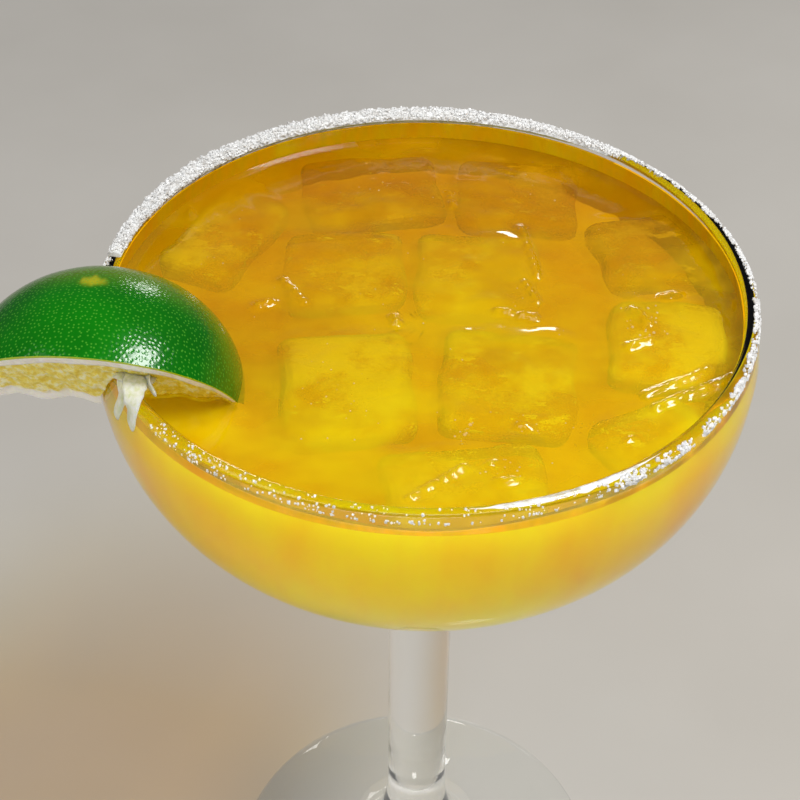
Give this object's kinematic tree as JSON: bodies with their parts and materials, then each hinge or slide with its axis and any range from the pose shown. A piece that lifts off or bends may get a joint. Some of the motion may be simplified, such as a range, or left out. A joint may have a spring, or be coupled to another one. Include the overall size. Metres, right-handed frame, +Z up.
{
  "type": "margarita cocktail",
  "caption": "Stemmed coupe glass of iced yellow margarita with a salted rim and a lime wedge hung on the rim; stands on its round foot.",
  "frame": {"origin": "centre of the foot's flat underside, on the glass's axis", "axes": "+Z up along the stem; the lime wedge hangs on the rim on the -X side, towards -Y"},
  "size_m": [0.1318, 0.1133, 0.1772],
  "materials": {
    "glass": "clear and smooth",
    "drink": "cloudy yellow liquid, glossy",
    "ice": "wet, part clear and part cloudy",
    "lime_peel": "waxy, finely pitted",
    "lime_flesh": "wet and grainy",
    "salt": "crystalline white"
  },
  "bodies": {
    "root": {"glass": "glass", "drink": "drink", "ice_cube_1": "ice", "ice_cube_2": "ice", "ice_cube_3": "ice", "ice_cube_4": "ice", "ice_cube_5": "ice", "ice_cube_6": "ice", "ice_cube_7": "ice", "ice_cube_8": "ice", "ice_cube_9": "ice", "ice_cube_10": "ice", "ice_cube_11": "ice", "lime_wedge": "lime_peel"}
  },
  "joints": []
}
